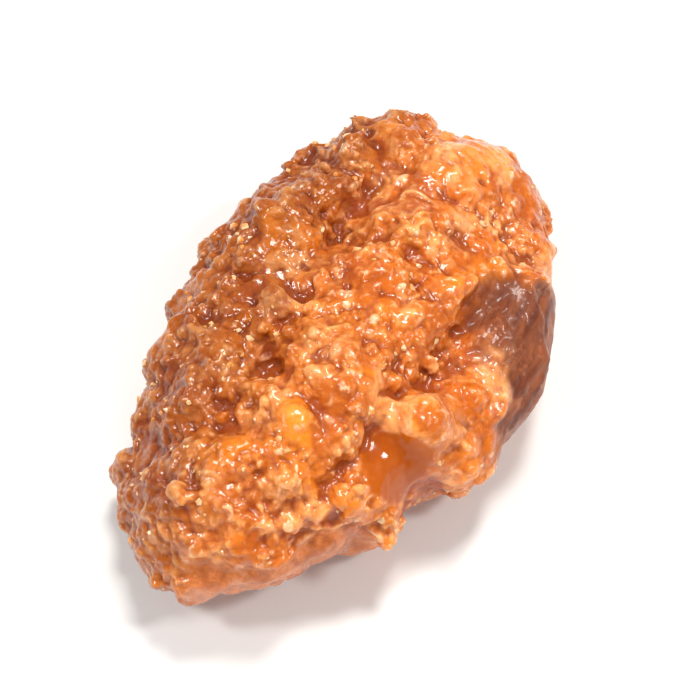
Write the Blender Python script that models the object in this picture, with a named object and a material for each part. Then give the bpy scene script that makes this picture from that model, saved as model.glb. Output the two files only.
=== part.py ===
"""A candied pecan half: one ridged nut in a craggy crust of crystallised cinnamon sugar.

Lengths are in metres. +X runs along the nut from its pointed tip to its blunt stem end and
+Z is up. The ridged, rounded back of the half faces up. Its flatter side, with the hollow
between the two lobes, faces down and has the flat spots that it dried on. While it is built,
z is 0 at the nut's rim. At the end the origin is moved to the resting plane, under the
middle of the nut.
"""

import math
import random

import bmesh
import bpy
from mathutils import Matrix, Vector, noise

MM = 0.001
SEED = 11

# The nut under its crust: a large pecan half
NUT_LENGTH = 35.4 * MM
HALF_WIDTHS = (10.9 * MM, 10.3 * MM)  # the -Y side first
NUT_HEIGHT = 10.3 * MM
RIM_SHARE = 0.40  # height of the widest line, as a share of the nut's height
TIP_POWER = 2.2  # 2 is an ellipse seen from above, and more is blunter
STEM_POWER = 2.55
BACK_POWER = 2.1  # the same for the rounded back, seen along the nut
BELLY_POWER = 3.0
TAPERS = (0.31, 0.06)  # how much each side narrows towards the tip, -Y first
TAPER_ROUNDING = 0.7  # how much less it widens towards the stem end
TIP_BEND = 1.3 * MM  # the tip swings this far towards +Y

# The -Y side's outline swells and draws in: along, how far that reaches, and how much
OUTLINE_SWELLS = (
    (2.5 * MM, 3.5 * MM, 0.9 * MM),
    (-6.5 * MM, 3.8 * MM, -1.1 * MM),
    (13.0 * MM, 3.0 * MM, -0.9 * MM),
)

# Two grooves along the back part it into three ridges
BACK_GROOVES_AT = (-0.58, 0.36)  # shares of the half width
BACK_GROOVE_SPREAD = 0.19
BACK_GROOVE_DEPTH = 1.5 * MM
# One wide hollow along the underside, deepest at the stem's notch
BELLY_GROOVE_SPREAD = 0.24
BELLY_GROOVE_DEPTH = 2.2 * MM
STEM_NOTCH_DEPTH = 0.9 * MM

# The crust: its mean thickness, and four kinds of crag (how far apart, how high)
CRUST = 1.5 * MM
BARE_GLAZE = 0.5 * MM  # thickness left where only glaze covers the nut's skin
SWELLS = (7.0 * MM, 0.8 * MM)
CRAGS = (3.8 * MM, 1.0 * MM)
BROKEN_RIDGES = (5.0 * MM, 0.7 * MM)
NUBS = (1.9 * MM, 0.5 * MM)

# Calm places where the sugar ran smooth: along, across, radius, how far it sinks
CALMS = (
    (-6.8 * MM, -6.4 * MM, 2.5 * MM, 1.1 * MM),  # the amber hollow low on the -Y side
    (14.8 * MM, -2.5 * MM, 3.6 * MM, 0.0 * MM),  # the glazed shoulder at the stem end
)
PITS = (
    (-5.9 * MM, 2.2 * MM, 1.0 * MM, 0.9 * MM),
    (10.4 * MM, 2.6 * MM, 1.2 * MM, 1.0 * MM),
    (8.0 * MM, 4.4 * MM, 0.9 * MM, 0.7 * MM),
    (2.5 * MM, -6.3 * MM, 1.1 * MM, 0.8 * MM),
)

# The surface is a cube's six faces, each cut into CUTS by CUTS, blown up to the nut's form
CUTS = 64
FLAT_RISE = 1.3 * MM  # the lowest crags are worn flat up to this height
CLEAR_OF_FLAT = 0.4 * MM  # no crumb reaches lower than this above the flat spots
MELT_GRID = 0.34 * MM  # crumbs melt into the crust over about this width
MELT_ROUNDS = 2
TRIANGLES = 11400

# Crumbs of sugar fused to the crust, gathered in drifts
CRUMBS = 150
CRUMB_RADIUS = (0.7 * MM, 1.5 * MM)
CRUMB_SPACING = 1.5 * MM
SUNK = 0.38  # how far a crumb's middle lies inside the crust, as a share of its radius

# The larger lumps, each by the place on the nut that it sticks to, and its radius
LUMPS = (
    (-3.9 * MM, -7.5 * MM, 4.6 * MM, 2.0 * MM),  # the amber bead above the hollow
    (-10.4 * MM, -5.6 * MM, 4.4 * MM, 1.4 * MM),
    (12.5 * MM, 5.6 * MM, 4.6 * MM, 1.6 * MM),
    (5.2 * MM, 9.3 * MM, 3.4 * MM, 1.5 * MM),
    (-13.0 * MM, 4.6 * MM, 4.0 * MM, 1.4 * MM),
    (-19.0 * MM, 1.2 * MM, -1.2 * MM, 1.3 * MM),  # the brown crumb at the tip
    (-13.2 * MM, 9.8 * MM, -1.4 * MM, 1.8 * MM),  # the tan crumbs beside the tip
    (-15.4 * MM, 7.8 * MM, -0.8 * MM, 1.3 * MM),
    (-16.4 * MM, -3.6 * MM, -2.4 * MM, 1.2 * MM),
    (2.5 * MM, 12.0 * MM, -1.6 * MM, 1.4 * MM),
)

# Curled flakes where the crust ends above bare skin: the place, turn and length
FLAKES = (
    (-11.2 * MM, -8.8 * MM, 0.6 * MM, 210, 3.6 * MM),
    (4.6 * MM, -11.0 * MM, 2.8 * MM, 172, 3.2 * MM),
    (-4.4 * MM, -10.0 * MM, 1.6 * MM, 196, 2.2 * MM),
)
FLAKE_THICKNESS = 0.95 * MM
FLAKE_CURL = 80  # degrees that its length turns through


def smooth_step(low, high, value):
    """0 up to low, 1 from high on and a smooth change between them."""
    share = min(1.0, max(0.0, (value - low) / (high - low)))
    return share * share * (3 - 2 * share)


def bell(value, centre, spread):
    return math.exp(-(((value - centre) / spread) ** 2))


def squared_off(across, up, power):
    """Pushes a point of the unit circle out to a superellipse of this power."""
    reach = (abs(across) ** power + abs(up) ** power) ** (-1 / power)
    return across * reach, up * reach


def nut_point(direction):
    """The point of the bare nut that a direction from its middle leads to."""
    around = math.hypot(direction.y, direction.z)
    across, up = (direction.y / around, direction.z / around) if around > 1e-6 else (0, 1)
    along, girth = squared_off(direction.x, around, STEM_POWER if direction.x > 0 else TIP_POWER)
    half_width = HALF_WIDTHS[across > 0] * girth
    half_width *= 1 + TAPERS[across > 0] * (along - TAPER_ROUNDING * along**2)
    if across < 0:
        place = NUT_LENGTH / 2 * along
        half_width += sum(rise * bell(place, at, spread) for at, spread, rise in OUTLINE_SWELLS)
    side, level = squared_off(across, up, BACK_POWER if up > 0 else BELLY_POWER)
    height = NUT_HEIGHT * (1 - RIM_SHARE if up > 0 else RIM_SHARE) * girth**0.9 * level
    fade = 1 - along**4
    if up > 0:
        grooves = sum(bell(side, at, BACK_GROOVE_SPREAD) for at in BACK_GROOVES_AT)
        height -= BACK_GROOVE_DEPTH * grooves * fade * smooth_step(0, 0.5, up)
    else:
        hollow = bell(side, 0, BELLY_GROOVE_SPREAD) * smooth_step(0, 0.5, -up)
        depth = BELLY_GROOVE_DEPTH + STEM_NOTCH_DEPTH * smooth_step(0.2, 0.8, along)
        height += depth * fade * hollow
    notch = STEM_NOTCH_DEPTH * smooth_step(0.75, 1.0, along) * bell(side, 0, 0.35)
    bend = TIP_BEND * smooth_step(0.0, -1.0, along)
    return Vector((NUT_LENGTH / 2 * along - notch, half_width * side + bend, height))


def lumpy(point, size):
    """Rounded lumps of about this size with sharp creases between them, from -0.5 to 0.5."""
    nearest = noise.voronoi(point / size)[0][0]
    return max(0.0, 1 - (nearest / 0.72) ** 2) - 0.5


def bare_share(point):
    """1 where the crust has come away from the -Y flank and the skin shows, 0 under full crust."""
    ragged = 0.9 * MM * noise.noise(point / (2.6 * MM)) + 0.5 * MM * noise.noise(point / (1.1 * MM))
    upper_edge = 3.6 * MM * bell(point.x, 8.5 * MM, 5.0 * MM) - 1.0 * MM + ragged
    patch = smooth_step(upper_edge + 0.6 * MM, upper_edge, point.z)
    patch *= smooth_step(-5.0 * MM, -7.0 * MM, point.y) * smooth_step(-5 * MM, 1 * MM, point.x + 2 * ragged)
    lower = smooth_step(0.4 * MM, -0.4 * MM, point.z + ragged)
    band = lower * smooth_step(-10.5 * MM, -12.0 * MM, point.x) * smooth_step(3 * MM, 1 * MM, point.y)
    return max(patch, band) * smooth_step(-4.6 * MM, -3.6 * MM, point.z)


def dents(point, places):
    """The share of the deepest dent felt at a point of the back, and how far it sinks there."""
    share = sink = 0.0
    back = smooth_step(-2.5 * MM, 0.5 * MM, point.z)
    for along, across, radius, depth in places:
        near = back * bell(math.hypot(point.x - along, point.y - across), 0, 0.75 * radius)
        share, sink = max(share, near), max(sink, near * depth)
    return share, sink


def crust_thickness(point):
    """How far the crust stands off the nut at a point of its surface."""
    swell = SWELLS[1] * noise.noise(point / SWELLS[0])
    ridge = 1 - min(1.0, 2.6 * abs(noise.noise(point / BROKEN_RIDGES[0] + Vector((7, 3, 5)))))
    crags = CRAGS[1] * lumpy(point, CRAGS[0]) + BROKEN_RIDGES[1] * (ridge**2 - 0.3)
    nubs = NUBS[1] * lumpy(point, NUBS[0])
    calm, sink = dents(point, CALMS)
    bare = bare_share(point)
    crusted = CRUST + swell + (crags + nubs) * (1 - calm) - sink - dents(point, PITS)[1]
    return crusted * (1 - bare) + (BARE_GLAZE + 0.2 * nubs) * bare


def cube_ball():
    """A ball of even quads: a cube's faces cut into a grid and pushed out to radius 1."""
    ball = bmesh.new()
    bmesh.ops.create_cube(ball, size=2)
    bmesh.ops.subdivide_edges(ball, edges=ball.edges[:], cuts=CUTS - 1, use_grid_fill=True)
    for vertex in ball.verts:
        # The tangent evens out the grid, which would otherwise crowd at the cube's corners.
        vertex.co = Vector([math.tan(c * math.pi / 4) for c in vertex.co]).normalized()
    return ball


def crusted_nut():
    """The nut's mesh with its crust, worn flat underneath, and the height of that flat."""
    body = cube_ball()
    for vertex in body.verts:
        vertex.co = nut_point(vertex.co)
    body.normal_update()
    thickness = [crust_thickness(vertex.co) for vertex in body.verts]
    for vertex, depth in zip(body.verts, thickness):
        vertex.co += vertex.normal * depth
    flat = min(vertex.co.z for vertex in body.verts) + FLAT_RISE
    for vertex in body.verts:
        vertex.co.z = max(flat, vertex.co.z)
    bmesh.ops.recalc_face_normals(body, faces=body.faces[:])
    return body, flat


def crumb(centre, radius, draw, lowest):
    """One uneven crumb: a ball of few faces, stretched and dented, kept above the flat spots."""
    lump = bmesh.new()
    bmesh.ops.create_icosphere(lump, subdivisions=2, radius=radius)
    stretch = Vector([draw.uniform(0.75, 1.25) for _ in range(3)])
    axis = Vector([draw.gauss(0, 1) for _ in range(3)]).normalized()
    turn = Matrix.Rotation(draw.uniform(0, math.tau), 3, axis)
    for vertex in lump.verts:
        dent = 1 + 0.3 * noise.noise(1.4 * vertex.co / radius + centre / MM)
        vertex.co = centre + turn @ (vertex.co * stretch * dent)
        vertex.co.z = max(lowest, vertex.co.z)
    return lump


def flake(centre, turn, length, draw):
    """A curl of crust: an arc of tapered five-sided rings."""
    curl = bmesh.new()
    rings, sides = 7, 5
    radius = length / math.radians(FLAKE_CURL)
    heading = Matrix.Rotation(math.radians(turn), 3, "Z")
    made = []
    for ring in range(rings):
        share = ring / (rings - 1) - 0.5
        angle = math.radians(FLAKE_CURL) * share
        middle = Vector((radius * math.sin(angle), radius * (math.cos(angle) - 1), 0))
        outward = Vector((math.sin(angle), math.cos(angle), 0))
        thick = FLAKE_THICKNESS * (0.35 + 0.65 * math.cos(math.pi * share)) * draw.uniform(0.9, 1.1)
        points = []
        for side in range(sides):
            spoke = math.tau * side / sides
            point = middle + thick * (math.cos(spoke) * outward + 0.8 * math.sin(spoke) * Vector((0, 0, 1)))
            points.append(curl.verts.new(centre + heading @ point))
        made.append(points)
    for first, second in zip(made, made[1:]):
        for side in range(sides):
            after = (side + 1) % sides
            curl.faces.new((first[side], first[after], second[after], second[side]))
    curl.faces.new(made[0])
    curl.faces.new(made[-1])
    bmesh.ops.recalc_face_normals(curl, faces=curl.faces[:])
    return curl


def nearest_vertex(body, place):
    return min(body.verts, key=lambda vertex: (vertex.co - place).length_squared)


def crumb_fits(point, taken):
    """True where crusted sugar gathers and no other crumb is near."""
    if bare_share(point) > 0.1 or dents(point, CALMS)[0] > 0.3 or dents(point, PITS)[0] > 0.4:
        return False
    if noise.noise(point / (6 * MM) + Vector((2, 9, 4))) < -0.12:
        return False
    return min((point - other).length for other in taken) > CRUMB_SPACING


def lumps_and_crumbs(body, flat):
    """Everything that is stuck to the crust, as loose meshes that bite well into it."""
    draw = random.Random(SEED)
    lowest = flat + CLEAR_OF_FLAT
    pieces, taken = [], []
    for along, across, height, radius in LUMPS:
        root = nearest_vertex(body, Vector((along, across, height)))
        pieces.append(crumb(root.co - root.normal * 0.1 * radius, radius, draw, lowest))
        taken.append(root.co.copy())
    for along, across, height, turn, length in FLAKES:
        root = nearest_vertex(body, Vector((along, across, height)))
        pieces.append(flake(root.co, turn, length, draw))
        taken.append(root.co.copy())
    order = [v for v in body.verts if v.co.z > lowest + CRUMB_RADIUS[1]]
    draw.shuffle(order)
    for vertex in order:
        if len(pieces) == CRUMBS:
            break
        if crumb_fits(vertex.co, taken):
            radius = CRUMB_RADIUS[0] + (CRUMB_RADIUS[1] - CRUMB_RADIUS[0]) * draw.random() ** 2
            pieces.append(crumb(vertex.co - vertex.normal * SUNK * radius, radius, draw, lowest))
            taken.append(vertex.co.copy())
    return pieces


def as_object(shape, name, collection):
    mesh = bpy.data.meshes.new(name)
    shape.to_mesh(mesh)
    shape.free()
    made = bpy.data.objects.new(name, mesh)
    collection.objects.link(made)
    return made


def apply_modifiers(target):
    graph = bpy.context.evaluated_depsgraph_get()
    target.data = bpy.data.meshes.new_from_object(target.evaluated_get(graph))
    target.modifiers.clear()


def fuse(target, helpers):
    """Joins a collection of meshes into the target with one Boolean union, then removes them."""
    union = target.modifiers.new("fused_crumbs", "BOOLEAN")
    union.operation = "UNION"
    union.operand_type = "COLLECTION"
    union.collection = helpers
    union.solver = "MANIFOLD"
    apply_modifiers(target)
    for helper in list(helpers.objects):
        bpy.data.objects.remove(helper)
    bpy.data.collections.remove(helpers)


def melt_together(target):
    """Rounds every joint between crumb and crust, as sugar that has run."""
    remesh = target.modifiers.new("melted", "REMESH")
    remesh.mode = "VOXEL"
    remesh.voxel_size = MELT_GRID
    smooth = target.modifiers.new("run_smooth", "SMOOTH")
    smooth.factor = 0.5
    smooth.iterations = MELT_ROUNDS
    apply_modifiers(target)


def drop_scraps(mesh):
    """Keeps the largest connected shell, so that no sealed hollow or loose scrap is left."""
    shape = bmesh.new()
    shape.from_mesh(mesh)
    left, shells = set(shape.verts), []
    while left:
        first = left.pop()
        shell, edge = {first}, [first]
        while edge:
            vertex = edge.pop()
            near = {e.other_vert(vertex) for e in vertex.link_edges} & left
            left -= near
            shell |= near
            edge.extend(near)
        shells.append(shell)
    largest = max(shells, key=len)
    bmesh.ops.delete(shape, geom=[v for v in shape.verts if v not in largest], context="VERTS")
    bmesh.ops.triangulate(shape, faces=shape.faces[:])
    shape.to_mesh(mesh)
    shape.free()


def thin_out(target):
    """Leaves few triangles on the calm parts and more along the crags."""
    thin = target.modifiers.new("thinned", "DECIMATE")
    thin.ratio = TRIANGLES / len(target.data.polygons)
    apply_modifiers(target)


def rest_on_base(mesh):
    """Levels the flat spots again and moves the origin under the middle, in their plane."""
    flat = min(vertex.co.z for vertex in mesh.vertices) + 0.15 * MM
    for vertex in mesh.vertices:
        vertex.co.z = max(flat, vertex.co.z)
    low, high = [Vector(map(pick, zip(*(v.co for v in mesh.vertices)))) for pick in (min, max)]
    middle = (low + high) / 2
    mesh.transform(Matrix.Translation((-middle.x, -middle.y, -flat)))


def crust_material():
    """Glossy, bright orange-brown sugar crust."""
    material = bpy.data.materials.new("candied_crust")
    material.use_nodes = True
    shader = material.node_tree.nodes["Principled BSDF"]
    shader.inputs["Base Color"].default_value = (0.62, 0.20, 0.055, 1)
    shader.inputs["Roughness"].default_value = 0.35
    shader.inputs["Metallic"].default_value = 0.0
    return material


def main():
    for old in list(bpy.data.objects):
        bpy.data.objects.remove(old)
    scene_objects = bpy.context.scene.collection
    helpers = bpy.data.collections.new("crumbs")
    scene_objects.children.link(helpers)
    body, flat = crusted_nut()
    for number, piece in enumerate(lumps_and_crumbs(body, flat)):
        as_object(piece, f"crumb_{number:03d}", helpers)
    pecan = as_object(body, "candied_pecan", scene_objects)
    fuse(pecan, helpers)
    melt_together(pecan)
    drop_scraps(pecan.data)
    thin_out(pecan)
    rest_on_base(pecan.data)
    pecan.data.materials.clear()
    pecan.data.materials.append(crust_material())
    pecan.data.shade_smooth()


main()
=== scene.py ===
"""The looks of a candied pecan half: fine relief in its sugar crust, its colours, crystals, light and camera.

Shapes are worked out in millimetres, as arrays of points in the part's frame, and turned to
metres when they become a mesh. The crust's colour follows its real thickness over the nut,
so the bare nut is built here too, but only to measure from.
"""

import math

import bmesh
import bpy
import numpy as np
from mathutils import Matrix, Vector, noise
from mathutils.bvhtree import BVHTree


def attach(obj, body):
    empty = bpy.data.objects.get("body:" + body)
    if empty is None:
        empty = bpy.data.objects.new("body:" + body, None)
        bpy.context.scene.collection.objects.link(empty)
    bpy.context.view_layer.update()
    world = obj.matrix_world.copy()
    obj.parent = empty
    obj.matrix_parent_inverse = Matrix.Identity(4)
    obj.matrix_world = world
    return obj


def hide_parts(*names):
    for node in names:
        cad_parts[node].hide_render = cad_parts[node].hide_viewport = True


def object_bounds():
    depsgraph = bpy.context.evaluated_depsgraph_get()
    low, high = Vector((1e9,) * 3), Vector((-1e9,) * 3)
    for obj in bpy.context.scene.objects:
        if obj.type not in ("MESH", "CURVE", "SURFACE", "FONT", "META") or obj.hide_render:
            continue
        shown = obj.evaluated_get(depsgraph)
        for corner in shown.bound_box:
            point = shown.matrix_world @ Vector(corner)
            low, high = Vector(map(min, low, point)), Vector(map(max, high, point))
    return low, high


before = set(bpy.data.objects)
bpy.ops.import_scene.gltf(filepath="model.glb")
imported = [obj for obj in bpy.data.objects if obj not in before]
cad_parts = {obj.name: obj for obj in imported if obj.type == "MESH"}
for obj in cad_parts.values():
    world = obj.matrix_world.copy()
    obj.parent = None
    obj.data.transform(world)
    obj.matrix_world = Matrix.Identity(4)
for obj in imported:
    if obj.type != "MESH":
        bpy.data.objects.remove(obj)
cad_box = [list(corner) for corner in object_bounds()]

MM = 0.001
NODE = "candied_pecan"
SEED = 5

# The bare nut under the crust, in mm: the same form as the solid's
NUT_AT = (-0.13, 0.14, 5.27)
NUT_LENGTH = 35.4
HALF_WIDTHS = (10.9, 10.3)
NUT_HEIGHT = 10.3
RIM_SHARE = 0.40
GIRTH_POWER = 0.9
TIP_POWER = 2.2
STEM_POWER = 2.55
BACK_POWER = 2.1
BELLY_POWER = 3.0
TAPERS = (0.31, 0.06)
TAPER_ROUNDING = 0.7
TIP_BEND = 1.3
OUTLINE_SWELLS = ((2.5, 3.5, 0.9), (-6.5, 3.8, -1.1), (13.0, 3.0, -0.9))
BACK_GROOVES_AT = (-0.58, 0.36)
BACK_GROOVE_SPREAD = 0.19
BACK_GROOVE_DEPTH = 1.5
BELLY_GROOVE_SPREAD = 0.24
BELLY_GROOVE_DEPTH = 2.2
BELLY_GROOVE_DEEPENS = (0.2, 0.8)
GROOVES_FADE_IN = (0, 0.5)
STEM_NOTCH_DEPTH = 0.9
STEM_NOTCH_SPREAD = 0.35
STEM_NOTCH_ALONG = (0.75, 1.0)

# The bare nut's mesh: rings along it, points on each, and the angle left open at its ends
NUT_RINGS = 90
NUT_TURNS = 120
POLE_GAP = 0.001

# Where sugar ran to smooth amber, in mm from the nut's middle: centre, radius and how smooth
AMBER = (
    ((-3.9, -8.0, 5.0), 2.7, 0.5),  # the bead
    ((-7.3, -6.9, 3.7), 2.6, 1.0),  # the hollow beside it
    ((14.8, -2.5, 5.0), 3.0, 0.35),  # the shoulder at the stem end
)
AMBER_WAVER = (1.6, 0.7)
AMBER_EDGE = (1.15, 0.75)

# Where the crust came off and left glazed skin, in mm from the nut's middle
PATCH_AT = 6.4
PATCH_SPREADS = (8.0, 3.9)
PATCH_RISE = 7.4
PATCH_LEVEL = -1.0
PATCH_EDGE = (0.9, -0.7)
PATCH_FLANK = (-5.8, -8.0)
PATCH_START = (-5, 1)
PATCH_FOOT = -1.6
PATCH_FOOT_EDGE = (-0.7, 0.7)
BAND_TOP = 2.8
BAND_TOP_EDGE = (0.3, -0.3)
BAND_START = (-10.5, -12.0)
BAND_SIDE = (3, 1)
CRUSTED_FOOT = (-4.6, -3.6)
RAGGED_EDGES = ((2.6, 0.9), (1.1, 0.5))

# The glaze left on that skin, and the most that its crust is worn back, in mm
SKIN_GLAZE = 0.6
DEEPEST_WEAR = 0.5

# Where the sugar stayed in grains, in mm: the patches' size and shift, then the sides that have more
GRAINY_PATCHES = (3.6, 8.1)
GRAINY_EDGE = (-0.12, 0.18)
GRAINY_LEVEL = -0.06
GRAINY_FLANK = (0, 9)
GRAINY_TIP = (-6, -15)
GRAINY_GAIN = 0.30

# Broad swellings on the solid's form, in mm from the nut's middle: centre, radius and rise
SWELLINGS = (
    ((17.0, -3.2, 3.0), 4.0, 0.7),  # the shoulder at the stem end
    ((15.5, 7.6, 4.4), 2.5, -0.9),  # the far corner, worn back
    ((15.6, -9.0, 1.6), 1.6, -0.5),  # the near corner, worn back
)

# Fused crumbs, in mm
CRUMBS = 420
CRUMB_RADIUS = (0.25, 0.6)
CRUMB_RARITY = 2.2
CRUMB_STRETCH = (0.7, 1.3)
CRUMB_SINK = 0.25
CRUMB_WAVER = (0.8, 0.16)
CRUMBS_ABOVE = 1.2
GRID = 0.13

# Rounds of averaging that round off every edge, and that fuse the lumps where the sugar melted
ROUNDING = 3
MELTING = 100
AMBER_MELT = 1.6
SMOOTH_CRUST_MELT = 0.6

# Rounds of averaging for the directions that relief rises in, and for narrow and broad hollows
DIRECTION_ROUNDS = 8
NEAR_ROUNDS = 12
WIDE_ROUNDS = 150

# Relief, in mm: how far apart, how high, and a shift that sets each noise apart
BILLOWS = (2.6, 0.34, 1.7)
COBBLES = (1.35, 0.17, 0.0)
WORMS = (1.5, 0.13, 4.2)
GRAINS = (0.78, 0.15, 2.9)
FINE_GRAINS = (0.44, 0.06, 6.3)
PITS = (3.4, 0.50, 7.7)
SKIN_LINES = (0.9, 0.09, 0.0)
SKIN_BUMPS = (1.3, 0.09, 6.0)

# The relief's proportions: parts of a cell, a noise's value or a share of the height
COBBLE_REACH = 0.75
WORM_WIDTH = 0.16
WORM_GAPS = (2.2, 3.3)
WORM_GAPS_EDGE = (-0.1, 0.3)
PIT_RADIUS = 0.42
SKIN_LINE_STRETCH = (8.0, 1.0, 1.0)
WAVER = (2.0, 0.45)
GRAIN_WAVER = (0.7, 0.2, 5.0)
GRAINS_WHERE_SMOOTH = 0.3
GRAINS_ON_SKIN = 0.4
AMBER_SMOOTHING = 0.8

# Loose sugar crystals stuck to the crust, in mm
CRYSTALS = 500
CRYSTAL_RADIUS = (0.13, 0.35)
CRYSTAL_RARITY = 2
CRYSTAL_CORNERS = (0.6, 1.3)
CRYSTAL_STRETCH = (0.6, 1.2)
CRYSTAL_SINK = 0.3
CRYSTALS_ABOVE = 0.5
CRYSTALS_GATHER = (3.2, 1.3)
CRYSTALS_FROM = 0.25

# Noise in the colours and the gloss: features per mm, detail, roughness and distortion
BROAD = (0.24, 3.0, 0.55, 0.4)
SMALL = (0.85, 4.0, 0.65, 0.6)
FINE = (3.5, 3.0, 0.7)
FROST = (0.33, 3.0, 0.6, 0.5)
MAUVE = (0.38, 3.0, 0.6, 0.8)
BLOTS = (1.2, 2.0, 0.5, 0.8)
STREAKS = (1.0, 4.0, 0.65, 0.3)
GLAZE_TONE = (0.9, 4.0, 0.6, 0.5)
FLANK_RAGGED = (0.5, 3.0)
GLOSS = (0.55, 3.0)
ROUGH = (2.4, 1.0)
CRYSTAL_TONE = (1.3, 2.0)
FLOOR_TONE = (0.01, 2.0)

# Pairs of colours, each with the range of a value that leads from the first to the second
SYRUP_OF_THICKNESS = ((1.2, 3.4), (0.42, 0.078, 0.002, 1), (0.74, 0.175, 0.005, 1))
SUGAR_OF_THICKNESS = ((0.9, 2.8), (0.60, 0.127, 0.006, 1), (1.0, 0.295, 0.015, 1))
SKIN_STREAKS = ((0.36, 0.66), (0.145, 0.034, 0.014, 1), (0.30, 0.084, 0.030, 1))
GLAZE_TONES = ((0.3, 0.7), (0.43, 0.11, 0.026, 1), (0.76, 0.25, 0.075, 1))
CRYSTAL_TONES = ((0.38, 0.62), (0.85, 0.30, 0.06, 1), (1.0, 0.62, 0.36, 1))
FLOOR_COLOURS = ((0.81, 0.81, 0.81, 1), (0.84, 0.84, 0.838, 1))

# Tints, each with the range of a value that brings it on and its greatest share
BROWNED = ((0.47, 0.58), 0.75, (0.46, 0.085, 0.008, 1))
FROSTED = ((0.50, 0.64), 0.7, (1.0, 0.44, 0.15, 1))
MAUVE_FILM = ((0.56, 0.68), 0.6, (0.42, 0.085, 0.035, 1))
PALE_SPOTS = ((0.50, 0.70), 0.5, (1.0, 0.41, 0.12, 1))
DARK_SPECKS = ((0.50, 0.34), 0.2, (0.45, 0.08, 0.006, 1))
# The two hollow tints below are painted shade: the crust is darker where it sinks into hollows
WIDE_HOLLOW_SHADE = ((0.02, 0.20), 0.75, (0.30, 0.046, 0.003, 1))
NEAR_HOLLOW_SHADE = ((0.00, 0.07), 0.5, (0.34, 0.048, 0.003, 1))
SUGARED_SKIN = ((0.55, 0.72), 0.5, (0.60, 0.20, 0.07, 1))
GLAZE_SPECKS = ((0.48, 0.34), 0.5, (0.42, 0.09, 0.02, 1))

# Colours of the grained sugar, the painted highlight on each crest, the pale blotches that are partly painted
# highlight, and the darker far flank
GRAINY_SHARE = 0.55
GRAINY_COLOUR = (0.56, 0.14, 0.014, 1)
CREST_HIGHLIGHT_COLOUR = (1.0, 0.48, 0.16, 1)
BLOT_FROST_AND_HIGHLIGHT_COLOUR = (1.0, 0.60, 0.35, 1)
FAR_FLANK_COLOUR = (0.58, 0.51, 0.44, 1)

# Where the far flank starts to darken and where it is darkest, and how ragged that edge is, in mm
FAR_FLANK = (4, 10)
FAR_FLANK_RAGGED = 7

# Where a value starts and ends its effect, and the share or amount there
CREST_HEIGHT = (0.0, -0.07, 0.0, 1.0)
CREST_FROST = (0.44, 0.60, 0.1, 0.65)
BLOT_EDGE = (0.56, 0.65, 0.0, 1.0)
BLOT_HEIGHT = (0.01, -0.05, 0.0, 0.7)
SYRUP_SHARE = (0.45, 0.95, 0.0, 0.9)
CRUST_ROUGHNESS = (0.35, 0.65, 0.18, 0.42)
AMBER_SMOOTHER = (0.2, 0.9, 0.0, 0.14)
SKIN_ROUGHER = (0.0, 1.0, 0.0, 0.16)
COAT_OFF_SKIN = (0.0, 1.0, 0.6, 0.2)
COAT_LOST_ON_AMBER = (0.3, 1.0, 0.0, 0.35)
BUMP_STRENGTH = (0.0, 1.0, 0.4, 0.08)

# How the skin's streaks are squeezed along the nut, which draws them out
STREAK_SQUEEZE = (0.14, 1.0, 1.0)

# The crust as a surface, lengths in mm
SCATTER_SHARE = 0.35
SCATTER_COLOURS = (1.0, 0.32, 0.12)
SCATTER_DEPTH = 0.9
COAT_ROUGHNESS = 0.14
SPECULAR_LEVEL = 0.2
FACETS_PER_MM = 3.0
BUMP_DEPTH = 0.10

# The crystals as a surface, lengths in mm
CRYSTAL_ROUGHNESS = 0.18
CRYSTAL_SCATTER_SHARE = 0.4
CRYSTAL_SCATTER_COLOURS = (1.0, 0.5, 0.25)
CRYSTAL_SCATTER_DEPTH = 0.6

# The camera: angles round the part, and lens, distance and nearest sight in mm, m and m
CAMERA_AZIMUTH = -65
CAMERA_ELEVATION = 60
CAMERA_LENS = 85
CAMERA_DISTANCE = 0.110
CAMERA_NEAREST = 0.005

# The sun: its angles round the part, strength, width in degrees and colour
SUN_AT = (95, 66)
SUN_STRENGTH = 2.05
SUN_WIDTH = 14
SUN_COLOUR = (1.0, 0.98, 0.93)

# Round lamps: angles, distance and size in m, power in W, colour, and whether gloss shows them
LAMPS = (
    ("spark_left", (-150, 55), 0.42, 0.07, 0.66, (1.0, 0.98, 0.96), True),
    ("spark_right", (20, 50), 0.42, 0.07, 0.66, (1.0, 0.98, 0.96), True),
    ("front", (-65, 28), 0.45, 0.16, 0.45, (1.0, 1.0, 1.0), False),
)

# How bright the surrounding is as a light and as a backdrop
FILL = 0.28
BACKDROP = 0.96

# The floor's size, in metres, and its own light, which brings it to the backdrop's white far off
FLOOR_SIZE = 6
FLOOR_GLOW = 0.27
GLOW_REACH = (0.1, 0.5)
FLOOR_ROUGHNESS = 0.6


def smooth_step(low, high, value):
    share = np.clip((value - low) / (high - low), 0, 1)
    return share * share * (3 - 2 * share)


def bell(value, centre, spread):
    return np.exp(-(((value - centre) / spread) ** 2))


def squared_off(across, up, power):
    """Pushes points of the unit circle out to a superellipse of this power."""
    reach = (np.abs(across) ** power + np.abs(up) ** power) ** (-1 / power)
    return across * reach, up * reach


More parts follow.
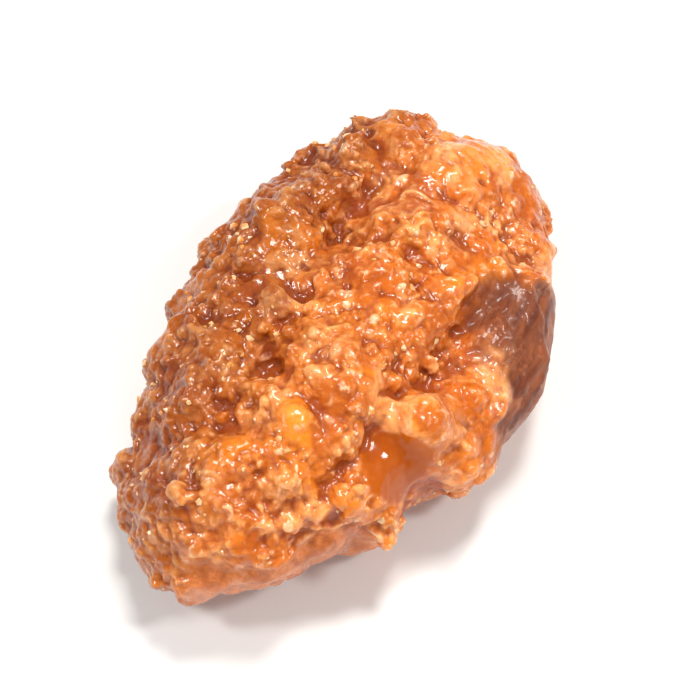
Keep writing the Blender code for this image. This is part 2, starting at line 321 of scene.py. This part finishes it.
def nut_points(slope, turn):
    """The bare nut's points, in mm, for angles from its stem end's axis and around that axis."""
    across, up = np.cos(turn), np.sin(turn)
    stem = np.cos(slope) > 0
    along, girth = squared_off(np.cos(slope), np.sin(slope), np.where(stem, STEM_POWER, TIP_POWER))
    far = across > 0
    widen = 1 + np.where(far, TAPERS[1], TAPERS[0]) * (along - TAPER_ROUNDING * along**2)
    half_width = np.where(far, HALF_WIDTHS[1], HALF_WIDTHS[0]) * girth * widen
    swells = sum(rise * bell(NUT_LENGTH / 2 * along, at, reach) for at, reach, rise in OUTLINE_SWELLS)
    half_width += np.where(across < 0, swells, 0)
    side, level = squared_off(across, up, np.where(up > 0, BACK_POWER, BELLY_POWER))
    height = NUT_HEIGHT * np.where(up > 0, 1 - RIM_SHARE, RIM_SHARE) * girth**GIRTH_POWER * level
    fade = 1 - along**4
    grooves = sum(bell(side, at, BACK_GROOVE_SPREAD) for at in BACK_GROOVES_AT)
    height -= BACK_GROOVE_DEPTH * grooves * fade * smooth_step(*GROOVES_FADE_IN, up)
    hollow = bell(side, 0, BELLY_GROOVE_SPREAD) * smooth_step(*GROOVES_FADE_IN, -up)
    deepening = STEM_NOTCH_DEPTH * smooth_step(*BELLY_GROOVE_DEEPENS, along)
    height += (BELLY_GROOVE_DEPTH + deepening) * fade * hollow
    notch = STEM_NOTCH_DEPTH * smooth_step(*STEM_NOTCH_ALONG, along) * bell(side, 0, STEM_NOTCH_SPREAD)
    bend = TIP_BEND * smooth_step(0.0, 1.0, -along)
    place = np.stack([NUT_LENGTH / 2 * along - notch, half_width * side + bend, height], -1)
    return place + np.array(NUT_AT)


def nut_tree():
    """A search tree of the bare nut's surface."""
    slopes = np.linspace(POLE_GAP, math.pi - POLE_GAP, NUT_RINGS)
    slope, turn = np.meshgrid(slopes, np.linspace(0, math.tau, NUT_TURNS), indexing="ij")
    points = nut_points(slope, turn).reshape(-1, 3)
    first = (np.arange(NUT_RINGS - 1)[:, None] * NUT_TURNS + np.arange(NUT_TURNS - 1)).ravel()
    faces = np.stack([first, first + NUT_TURNS, first + NUT_TURNS + 1, first + 1], 1)
    return BVHTree.FromPolygons(points.tolist(), faces.tolist())


def field(points, size, shift=0.0):
    """Smooth noise from -1 to 1 at each point. The shift sets it apart from other noise of that size."""
    return np.array([noise.noise(Vector(point)) for point in points / size + shift])


def cells(points, size, shift=0.0):
    """How far each point is from its cell's middle and from the next cell's, in cell sizes."""
    return np.array([noise.voronoi(Vector(point))[0][:2] for point in points / size + shift])


def cobbled(points, size, shift=0.0):
    """Rounded lumps with creases between them, from about -0.5 to 0.5."""
    return np.maximum(0, 1 - (cells(points, size, shift)[:, 0] / COBBLE_REACH) ** 2) - 0.5


def wormy(points, size, shift=0.0):
    """Winding rounded ridges, from about -0.3 to 0.7."""
    return np.exp(-((field(points, size, shift) / WORM_WIDTH) ** 2)) - 0.3


def billowed(points, size, shift=0.0):
    """Soft lumps on lumps with creases between them, from about -0.4 to 0.4."""
    total = sum(np.abs(field(points, size / 2**octave, shift + octave)) / 2**octave for octave in range(3))
    return total - 0.4


def pitted(points, size, shift=0.0):
    """1 in the middle of scattered round pits, 0 between them."""
    return bell(cells(points, size, shift)[:, 0] * size, 0, PIT_RADIUS)


def raised(pattern, points, kind):
    """How far a kind of relief stands out at each point, in mm."""
    apart, high, shift = kind
    return high * pattern(points, apart, shift)


def warped(points, size, amount, shift=0.0):
    """The points pushed about by noise, so that what is drawn over them loses its regularity."""
    pushes = [noise.noise_vector(Vector(point)) for point in points / size + shift]
    return points + amount * np.array(pushes)


def mesh_arrays(mesh):
    """A mesh's points in mm, its normals and its edges."""
    count = len(mesh.vertices)
    points = np.empty(count * 3, np.float32)
    mesh.vertices.foreach_get("co", points)
    normals = np.empty(count * 3, np.float32)
    mesh.vertices.foreach_get("normal", normals)
    edges = np.empty(len(mesh.edges) * 2, np.int32)
    mesh.edges.foreach_get("vertices", edges)
    points = points.reshape(-1, 3).astype(float) / MM
    normals = normals.reshape(-1, 3).astype(float)
    return points, normals, edges.reshape(-1, 2)


def averaged(values, edges, rounds):
    """Values on the vertices after so many rounds of moving halfway to their neighbours' mean."""
    count = len(values)
    degree = np.bincount(edges.ravel(), minlength=count)
    for _ in range(rounds):
        columns = []
        for column in values.T:
            total = np.bincount(edges[:, 0], column[edges[:, 1]], count)
            total += np.bincount(edges[:, 1], column[edges[:, 0]], count)
            columns.append(total / degree)
        values = (values + np.stack(columns, 1)) / 2
    return values


def new_object(name, points, faces):
    """An object from points in mm and faces."""
    mesh = bpy.data.meshes.new(name)
    mesh.from_pydata((points * MM).tolist(), [], faces.tolist())
    mesh.update()
    made = bpy.data.objects.new(name, mesh)
    bpy.context.scene.collection.objects.link(made)
    return made


def ball(rounds):
    """An icosphere's points and triangles, of radius 1."""
    shape = bmesh.new()
    bmesh.ops.create_icosphere(shape, subdivisions=rounds, radius=1)
    points = np.array([vertex.co[:] for vertex in shape.verts])
    faces = np.array([[vertex.index for vertex in face.verts] for face in shape.faces])
    shape.free()
    return points, faces


def random_turns(draw, count):
    """Random rotation matrices."""
    whirl = draw.normal(size=(count, 4))
    w, x, y, z = (whirl / np.linalg.norm(whirl, axis=1)[:, None]).T
    rows = [
        [1 - 2 * (y * y + z * z), 2 * (x * y - z * w), 2 * (x * z + y * w)],
        [2 * (x * y + z * w), 1 - 2 * (x * x + z * z), 2 * (y * z - x * w)],
        [2 * (x * z - y * w), 2 * (y * z + x * w), 1 - 2 * (x * x + y * y)],
    ]
    return np.array(rows).transpose(2, 0, 1)


def scattered_on(mesh, draw, count):
    """Points spread evenly over a mesh's area, in mm, with the normals there."""
    mesh.calc_loop_triangles()
    points, normals, _ = mesh_arrays(mesh)
    faces = np.empty(len(mesh.loop_triangles) * 3, np.int32)
    mesh.loop_triangles.foreach_get("vertices", faces)
    faces = faces.reshape(-1, 3)
    a, b, c = points[faces].transpose(1, 0, 2)
    area = np.linalg.norm(np.cross(b - a, c - a), axis=1)
    chosen = draw.choice(len(faces), count, p=area / area.sum())
    u, v = draw.random((2, count, 1))
    u, v = np.where(u + v > 1, 1 - u, u), np.where(u + v > 1, 1 - v, v)
    place = a[chosen] * (1 - u - v) + b[chosen] * u + c[chosen] * v
    normal = normals[faces[chosen]].mean(1)
    return place, normal / np.linalg.norm(normal, axis=1)[:, None]


def many(shape, centres, radii, turns, stretch):
    """One mesh's arrays from copies of a shape, each with its own centre, radius, turn and stretch."""
    shape_points, shape_faces = shape
    points = shape_points[None] * stretch * radii[:, None, None]
    points = np.einsum("nij,nkj->nki", turns, points) + centres[:, None]
    faces = shape_faces[None] + (np.arange(len(centres)) * len(shape_points))[:, None, None]
    return points.reshape(-1, 3), faces.reshape(-1, 3)


def nut_under(tree, points):
    """The bare nut's point nearest each point, and how far off it is, in mm."""
    found = [tree.find_nearest(Vector(point)) for point in points]
    return np.array([place[:] for place, _, _, _ in found]), np.array([far for _, _, _, far in found])


def amber_share(points):
    """1 where the sugar ran smooth and clear, 0 elsewhere."""
    share = np.zeros(len(points))
    bent = warped(points - np.array(NUT_AT), *AMBER_WAVER)
    outer, inner = AMBER_EDGE
    for centre, radius, smoothness in AMBER:
        reach = np.linalg.norm(bent - np.array(centre), axis=1)
        share = np.maximum(share, smoothness * smooth_step(outer * radius, inner * radius, reach))
    return share


def bare_shares(points):
    """Two shares that are 1 where only glaze covers the skin: low on the -Y flank, and low round the tip."""
    x, y, z = (points - np.array(NUT_AT)).T
    ragged = sum(depth * field(points, size) for size, depth in RAGGED_EDGES)
    edge = PATCH_RISE * bell(x, PATCH_AT, np.where(x < PATCH_AT, *PATCH_SPREADS)) + PATCH_LEVEL + ragged
    patch = smooth_step(edge + PATCH_EDGE[0], edge + PATCH_EDGE[1], z) * smooth_step(*PATCH_FLANK, y)
    patch *= smooth_step(*PATCH_START, x + 2 * ragged)
    patch *= smooth_step(*PATCH_FOOT_EDGE, z - PATCH_FOOT + 1.2 * ragged)
    band = smooth_step(*BAND_TOP_EDGE, z - BAND_TOP + 0.6 * ragged)
    band *= smooth_step(*BAND_START, x + ragged)
    band *= smooth_step(*BAND_SIDE, y)
    off_the_ground = smooth_step(*CRUSTED_FOOT, z)
    return patch * off_the_ground, band * off_the_ground


def grainy_share(points):
    """1 where the sugar stayed in grains, as it did on the +Y flank and round the tip, 0 where it ran."""
    towards = GRAINY_GAIN * smooth_step(*GRAINY_FLANK, points[:, 1])
    towards += GRAINY_GAIN * smooth_step(*GRAINY_TIP, points[:, 0])
    return smooth_step(*GRAINY_EDGE, field(points, *GRAINY_PATCHES) + towards + GRAINY_LEVEL)


def fused_crumbs(base, draw):
    """Uneven crumbs half sunk in the crust, as one mesh's arrays."""
    place, normal = scattered_on(base, draw, 3 * CRUMBS)
    fits = (grainy_share(place) > 0.5) & (np.maximum(*bare_shares(place)) < 0.2)
    fits &= (amber_share(place) < 0.2) & (place[:, 2] > CRUMBS_ABOVE)
    place, normal = place[fits][:CRUMBS], normal[fits][:CRUMBS]
    count = len(place)
    low, high = CRUMB_RADIUS
    radii = low + (high - low) * draw.random(count) ** CRUMB_RARITY
    stretch = draw.uniform(*CRUMB_STRETCH, (count, 1, 3))
    centres = place - CRUMB_SINK * radii[:, None] * normal
    points, faces = many(ball(2), centres, radii, random_turns(draw, count), stretch)
    return warped(points, *CRUMB_WAVER), faces


def remeshed(name, base, points, faces):
    """The base mesh and another mesh's arrays run together on a fine grid."""
    base.calc_loop_triangles()
    own_points, _, _ = mesh_arrays(base)
    own_faces = np.array([triangle.vertices[:] for triangle in base.loop_triangles])
    points = np.concatenate([own_points, points])
    faces = np.concatenate([own_faces, faces + len(own_points)])
    both = new_object(name, points, faces)
    remesh = both.modifiers.new("run_together", "REMESH")
    remesh.mode = "VOXEL"
    remesh.voxel_size = GRID * MM
    graph = bpy.context.evaluated_depsgraph_get()
    both.data = bpy.data.meshes.new_from_object(both.evaluated_get(graph))
    both.modifiers.clear()
    return both


def relief(points, bare):
    """How far the crust's fine relief stands out at each point, in mm."""
    amber = amber_share(points)
    grainy = grainy_share(points)
    bent = warped(points, *WAVER)
    shaken = warped(points, *GRAIN_WAVER)
    lumps = raised(billowed, bent, BILLOWS) + raised(cobbled, bent, COBBLES)
    worms = raised(wormy, bent, WORMS) * smooth_step(*WORM_GAPS_EDGE, field(points, *WORM_GAPS))
    grains = raised(cobbled, shaken, GRAINS) + raised(cobbled, shaken, FINE_GRAINS)
    grained = grains * (GRAINS_WHERE_SMOOTH + (1 - GRAINS_WHERE_SMOOTH) * grainy)
    crusted = (lumps + worms - raised(pitted, bent, PITS) + grained) * (1 - AMBER_SMOOTHING * amber)
    lines = raised(field, bent / np.array(SKIN_LINE_STRETCH), SKIN_LINES)
    lines += raised(field, points, SKIN_BUMPS) + GRAINS_ON_SKIN * grains
    return crusted * (1 - bare) + lines * bare


def swelling(points):
    """How far the broad swellings move each point, in mm."""
    spots = points - np.array(NUT_AT)
    total = np.zeros(len(points))
    for centre, radius, rise in SWELLINGS:
        total += rise * bell(np.linalg.norm(spots - np.array(centre), axis=1), 0, radius)
    return total


def add_attribute(mesh, name, values):
    attribute = mesh.attributes.new(name, "FLOAT", "POINT")
    attribute.data.foreach_set("value", values.astype(np.float32))


def set_points(mesh, points):
    mesh.vertices.foreach_set("co", (points * MM).astype(np.float32).ravel())
    mesh.update()


def melt(mesh, bare):
    """Rounds off every edge, and fuses the lumps where the sugar melted."""
    points, _, edges = mesh_arrays(mesh)
    smooth_crust = SMOOTH_CRUST_MELT * (1 - grainy_share(points))
    amber = np.minimum(1, AMBER_MELT * amber_share(points))
    melted = np.maximum(amber, np.maximum(bare, smooth_crust))
    points = averaged(points, edges, ROUNDING)
    points += (averaged(points, edges, MELTING) - points) * melted[:, None]
    set_points(mesh, points)


def roughen(mesh, tree, bare):
    """Wears the crust back over the bare skin and raises the relief, all inside the solid's box."""
    points, normals, edges = mesh_arrays(mesh)
    normals = averaged(normals, edges, DIRECTION_ROUNDS)
    normals /= np.linalg.norm(normals, axis=1)[:, None]
    under, crust = nut_under(tree, points)
    worn = bare * np.clip(crust - SKIN_GLAZE, 0, DEEPEST_WEAR) / crust
    rise = relief(points, bare) + swelling(points)
    points = points + (under - points) * worn[:, None] + normals * rise[:, None]
    low, high = np.array(cad_box) / MM
    set_points(mesh, np.clip(points, low, high))


def add_material_values(mesh, tree, patch, band):
    """What the crust's material reads at each point: thickness and depth of hollows in mm, and shares."""
    points, normals, edges = mesh_arrays(mesh)
    add_attribute(mesh, "crust", nut_under(tree, points)[1])
    for name, rounds in (("near_hollow", NEAR_ROUNDS), ("wide_hollow", WIDE_ROUNDS)):
        add_attribute(mesh, name, ((averaged(points, edges, rounds) - points) * normals).sum(1))
    add_attribute(mesh, "grainy", grainy_share(points))
    add_attribute(mesh, "patch", patch)
    add_attribute(mesh, "band", band)
    add_attribute(mesh, "amber", amber_share(points))


def crusted_pecan(tree):
    """The nut in its crust, with its fine relief and what its material reads."""
    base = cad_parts[NODE].data
    crumb_points, crumb_faces = fused_crumbs(base, np.random.default_rng(SEED))
    pecan = remeshed("crusted_pecan", base, crumb_points, crumb_faces)
    patch, band = bare_shares(mesh_arrays(pecan.data)[0])
    bare = np.maximum(patch, band)
    melt(pecan.data, bare)
    roughen(pecan.data, tree, bare)
    add_material_values(pecan.data, tree, patch, band)
    pecan.data.shade_smooth()
    return pecan


def crystals(pecan):
    """Small sharp-edged sugar crystals sitting on the crust."""
    draw = np.random.default_rng(SEED + 1)
    place, normal = scattered_on(pecan.data, draw, 4 * CRYSTALS)
    fits = field(place, *CRYSTALS_GATHER) + 0.5 * grainy_share(place) > CRYSTALS_FROM
    fits &= (np.maximum(*bare_shares(place)) < 0.1) & (amber_share(place) < 0.3)
    fits &= place[:, 2] > CRYSTALS_ABOVE
    place, normal = place[fits][:CRYSTALS], normal[fits][:CRYSTALS]
    count = len(place)
    low, high = CRYSTAL_RADIUS
    radii = low + (high - low) * draw.random(count) ** CRYSTAL_RARITY
    shape = ball(1)
    corners = draw.uniform(*CRYSTAL_CORNERS, (count, len(shape[0]), 1))
    stretch = corners * draw.uniform(*CRYSTAL_STRETCH, (count, 1, 3))
    centres = place - CRYSTAL_SINK * radii[:, None] * normal
    points, faces = many(shape, centres, radii, random_turns(draw, count), stretch)
    low, high = np.array(cad_box) / MM
    return new_object("sugar_crystals", np.clip(points, low, high), faces)


def add_node(tree, kind, settings=(), **inputs):
    """A shader node with its settings and its inputs' values or links. A name's _ stands for a space."""
    made = tree.nodes.new(kind)
    for name, value in dict(settings).items():
        setattr(made, name, value)
    for name, value in inputs.items():
        socket = made.inputs[int(name[1:])] if name[1:].isdigit() else made.inputs[name.replace("_", " ")]
        set_socket(tree, socket, value)
    return made


def set_socket(tree, socket, value):
    """Gives a socket a value, or links it where the value is another node's output."""
    if isinstance(value, bpy.types.NodeSocket):
        tree.links.new(value, socket)
    else:
        socket.default_value = value


def new_material(name):
    """A material's own tree, its shader and the places on the object, in its own metres."""
    material = bpy.data.materials.new(name)
    material.use_nodes = True
    tree = material.node_tree
    place = add_node(tree, "ShaderNodeTexCoord").outputs["Object"]
    return material, tree, tree.nodes["Principled BSDF"], place


def mapped(tree, value, low, high, to_low=0.0, to_high=1.0):
    """A value moved from one range to another and kept inside it."""
    made = add_node(tree, "ShaderNodeMapRange", [("interpolation_type", "SMOOTHSTEP")], Value=value)
    for socket, number in zip(("From Min", "From Max", "To Min", "To Max"), (low, high, to_low, to_high)):
        made.inputs[socket].default_value = number
    return made.outputs["Result"]


def mixed(tree, share, first, second, blend="MIX"):
    """Two colours mixed by a share."""
    made = add_node(tree, "ShaderNodeMix", [("data_type", "RGBA"), ("blend_type", blend)])
    for socket, value in ((0, share), (6, first), (7, second)):
        set_socket(tree, made.inputs[socket], value)
    return made.outputs[2]


def graded(tree, value, grades):
    """A colour that goes from the first to the second as the value crosses its range."""
    (low, high), first, second = grades
    return mixed(tree, mapped(tree, value, low, high), first, second)


def tinted(tree, under, value, tint):
    """A colour with a tint over it where the value has crossed the tint's range."""
    (low, high), most, colour = tint
    return mixed(tree, mapped(tree, value, low, high, 0.0, most), under, colour)


def noise_at(tree, place, per_mm, detail, roughness=0.55, distortion=0.0):
    made = add_node(tree, "ShaderNodeTexNoise", Vector=place, Scale=per_mm / MM, Detail=detail)
    made.inputs["Roughness"].default_value = roughness
    made.inputs["Distortion"].default_value = distortion
    return made.outputs["Fac"]


def attribute(tree, name):
    return add_node(tree, "ShaderNodeAttribute", [("attribute_name", name)]).outputs["Fac"]


def calculated(tree, operation, first, second):
    return add_node(tree, "ShaderNodeMath", [("operation", operation)], _0=first, _1=second).outputs[0]


def far_flank(tree, place):
    """A share that grows towards the +Y side, which is coloured darker."""
    across = add_node(tree, "ShaderNodeSeparateXYZ", Vector=place).outputs["Y"]
    ragged = calculated(tree, "MULTIPLY", noise_at(tree, place, *FLANK_RAGGED), FAR_FLANK_RAGGED * MM)
    start, end = FAR_FLANK
    return mapped(tree, calculated(tree, "ADD", across, ragged), start * MM, end * MM)


def sugar_colour(tree, place, small, fine):
    """Amber to orange sugar, darker where it is thin, with painted shade in its hollows, a painted highlight
    on each crest, pale blotches that are partly painted highlight, and clear syrup.
    """
    crust, grainy, amber = (attribute(tree, name) for name in ("crust", "grainy", "amber"))
    near, wide = attribute(tree, "near_hollow"), attribute(tree, "wide_hollow")
    frost = noise_at(tree, place, *FROST)
    sugar = graded(tree, crust, SUGAR_OF_THICKNESS)
    sugar = tinted(tree, sugar, noise_at(tree, place, *BROAD), BROWNED)
    sugar = tinted(tree, sugar, frost, FROSTED)
    sugar = mixed(tree, calculated(tree, "MULTIPLY", grainy, GRAINY_SHARE), sugar, GRAINY_COLOUR)
    sugar = tinted(tree, sugar, noise_at(tree, place, *MAUVE), MAUVE_FILM)
    sugar = tinted(tree, sugar, small, PALE_SPOTS)
    sugar = tinted(tree, sugar, fine, DARK_SPECKS)
    # Painted shade: darker in the wide and the narrow hollows
    sugar = tinted(tree, sugar, wide, WIDE_HOLLOW_SHADE)
    sugar = tinted(tree, sugar, near, NEAR_HOLLOW_SHADE)
    # Painted highlight: a paler colour on the raised crest tops, where the frost noise allows it
    crest_highlights = mapped(tree, near, *CREST_HEIGHT)
    crest_highlights = calculated(tree, "MULTIPLY", crest_highlights, mapped(tree, frost, *CREST_FROST))
    sugar = mixed(tree, crest_highlights, sugar, CREST_HIGHLIGHT_COLOUR)
    # Pale blotches on the raised sugar: partly frosted sugar, partly painted highlight
    frost_and_highlight_blots = mapped(tree, noise_at(tree, place, *BLOTS), *BLOT_EDGE)
    frost_and_highlight_blots = calculated(tree, "MULTIPLY", frost_and_highlight_blots, mapped(tree, near, *BLOT_HEIGHT))
    sugar = mixed(tree, frost_and_highlight_blots, sugar, BLOT_FROST_AND_HIGHLIGHT_COLOUR)
    sugar = mixed(tree, far_flank(tree, place), sugar, FAR_FLANK_COLOUR, "MULTIPLY")
    syrup = graded(tree, crust, SYRUP_OF_THICKNESS)
    return mixed(tree, mapped(tree, amber, *SYRUP_SHARE), sugar, syrup)


def skin_colour(tree, place, small):
    """Brown skin in long streaks, with a few sugared spots."""
    along = add_node(tree, "ShaderNodeMapping", Vector=place, Scale=STREAK_SQUEEZE).outputs["Vector"]
    skin = graded(tree, noise_at(tree, along, *STREAKS), SKIN_STREAKS)
    return tinted(tree, skin, small, SUGARED_SKIN)


def glaze_colour(tree, place, fine):
    """The tan glaze round the tip."""
    glaze = graded(tree, noise_at(tree, place, *GLAZE_TONE), GLAZE_TONES)
    return tinted(tree, glaze, fine, GLAZE_SPECKS)


def crust_material():
    """The sugar crust, and bare skin and glaze where it is gone: glossy, translucent and faceted."""
    material, tree, shader, place = new_material("candied_crust")
    patch, band, amber = (attribute(tree, name) for name in ("patch", "band", "amber"))
    small = noise_at(tree, place, *SMALL)
    fine = noise_at(tree, place, *FINE)
    crusted = mixed(tree, patch, sugar_colour(tree, place, small, fine), skin_colour(tree, place, small))
    colour = mixed(tree, band, crusted, glaze_colour(tree, place, fine))
    tree.links.new(colour, shader.inputs["Base Color"])
    gloss = mapped(tree, noise_at(tree, place, *GLOSS), *CRUST_ROUGHNESS)
    gloss = calculated(tree, "SUBTRACT", gloss, mapped(tree, amber, *AMBER_SMOOTHER))
    gloss = calculated(tree, "ADD", gloss, mapped(tree, patch, *SKIN_ROUGHER))
    tree.links.new(gloss, shader.inputs["Roughness"])
    coat = mapped(tree, patch, *COAT_OFF_SKIN)
    coat = calculated(tree, "SUBTRACT", coat, mapped(tree, amber, *COAT_LOST_ON_AMBER))
    tree.links.new(coat, shader.inputs["Coat Weight"])
    shader.inputs["Coat Roughness"].default_value = COAT_ROUGHNESS
    shader.inputs["Specular IOR Level"].default_value = SPECULAR_LEVEL
    shader.inputs["Subsurface Weight"].default_value = SCATTER_SHARE
    shader.inputs["Subsurface Radius"].default_value = SCATTER_COLOURS
    shader.inputs["Subsurface Scale"].default_value = SCATTER_DEPTH * MM
    facets = add_node(tree, "ShaderNodeTexVoronoi", Vector=place, Scale=FACETS_PER_MM / MM)
    rough = calculated(tree, "ADD", facets.outputs["Distance"], noise_at(tree, place, *ROUGH))
    calm = calculated(tree, "MAXIMUM", calculated(tree, "MAXIMUM", patch, band), amber)
    strength = mapped(tree, calm, *BUMP_STRENGTH)
    bump = add_node(tree, "ShaderNodeBump", Height=rough, Strength=strength, Distance=BUMP_DEPTH * MM)
    tree.links.new(bump.outputs["Normal"], shader.inputs["Normal"])
    return material


def crystal_material():
    """Pale amber crystals of sugar."""
    material, tree, shader, place = new_material("sugar_crystals")
    colour = graded(tree, noise_at(tree, place, *CRYSTAL_TONE), CRYSTAL_TONES)
    tree.links.new(colour, shader.inputs["Base Color"])
    shader.inputs["Roughness"].default_value = CRYSTAL_ROUGHNESS
    shader.inputs["Subsurface Weight"].default_value = CRYSTAL_SCATTER_SHARE
    shader.inputs["Subsurface Radius"].default_value = CRYSTAL_SCATTER_COLOURS
    shader.inputs["Subsurface Scale"].default_value = CRYSTAL_SCATTER_DEPTH * MM
    return material


def floor_material():
    """A pale floor that glows a little far from the part, where it meets the backdrop."""
    material, tree, shader, place = new_material("pale_floor")
    colour = mixed(tree, noise_at(tree, place, *FLOOR_TONE), *FLOOR_COLOURS)
    tree.links.new(colour, shader.inputs["Base Color"])
    shader.inputs["Roughness"].default_value = FLOOR_ROUGHNESS
    reach = add_node(tree, "ShaderNodeVectorMath", [("operation", "LENGTH")], _0=place).outputs["Value"]
    tree.links.new(mapped(tree, reach, *GLOW_REACH, 0.0, FLOOR_GLOW), shader.inputs["Emission Strength"])
    shader.inputs["Emission Color"].default_value = (1, 1, 1, 1)
    return material


def set_floor():
    bpy.ops.mesh.primitive_plane_add(size=FLOOR_SIZE, location=(0, 0, 0))
    floor = bpy.context.object
    floor.name = "floor"
    floor.data.materials.append(floor_material())


def direction(azimuth, elevation):
    """Away from the part, by the angles of the views: azimuth 0 stands at -Y, and -90 at -X."""
    turn, rise = math.radians(azimuth), math.radians(elevation)
    return Vector((math.sin(turn) * math.cos(rise), -math.cos(turn) * math.cos(rise), math.sin(rise)))


def add_lamp(data, place):
    """A lamp at this place, shining at the part."""
    lamp = bpy.data.objects.new(data.name, data)
    lamp.location = place
    lamp.rotation_euler = place.to_track_quat("Z", "Y").to_euler()
    bpy.context.scene.collection.objects.link(lamp)
    return lamp


def set_world():
    """An even white surrounding, dimmer as a light than it looks to the camera."""
    world = bpy.data.worlds.new("soft_white")
    world.use_nodes = True
    tree = world.node_tree
    lighting = tree.nodes["Background"]
    lighting.inputs["Color"].default_value = (1, 1, 1, 1)
    lighting.inputs["Strength"].default_value = FILL
    seen = add_node(tree, "ShaderNodeBackground", Color=(1, 1, 1, 1), Strength=BACKDROP).outputs[0]
    for_camera = add_node(tree, "ShaderNodeLightPath").outputs["Is Camera Ray"]
    both = add_node(tree, "ShaderNodeMixShader", _0=for_camera, _1=lighting.outputs[0], _2=seen).outputs[0]
    tree.links.new(both, tree.nodes["World Output"].inputs["Surface"])
    bpy.context.scene.world = world


def set_light():
    """A wide sun, the round lamps and the white surrounding."""
    sun = bpy.data.lights.new("key", "SUN")
    sun.energy = SUN_STRENGTH
    sun.angle = math.radians(SUN_WIDTH)
    sun.color = SUN_COLOUR
    add_lamp(sun, direction(*SUN_AT))
    for name, angles, distance, size, power, colour, in_gloss in LAMPS:
        data = bpy.data.lights.new(name, "AREA")
        data.shape = "DISK"
        data.size = size
        data.energy = power
        data.color = colour
        add_lamp(data, direction(*angles) * distance).visible_glossy = in_gloss
    set_world()


def set_camera():
    """A camera that looks at the middle of the part's box."""
    low, high = (Vector(corner) for corner in cad_box)
    data = bpy.data.cameras.new("camera")
    data.lens = CAMERA_LENS
    data.clip_start = CAMERA_NEAREST
    camera = bpy.data.objects.new("camera", data)
    away = direction(CAMERA_AZIMUTH, CAMERA_ELEVATION)
    camera.location = (low + high) / 2 + away * CAMERA_DISTANCE
    camera.rotation_euler = away.to_track_quat("Z", "Y").to_euler()
    bpy.context.scene.collection.objects.link(camera)
    bpy.context.scene.camera = camera


def main():
    noise.seed_set(SEED)
    pecan = crusted_pecan(nut_tree())
    pecan.data.materials.clear()
    pecan.data.materials.append(crust_material())
    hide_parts(NODE)
    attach(pecan, "root")
    grains = crystals(pecan)
    grains.data.materials.append(crystal_material())
    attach(grains, "root")
    set_floor()
    set_light()
    set_camera()
    bpy.context.scene.view_settings.view_transform = "Standard"


main()
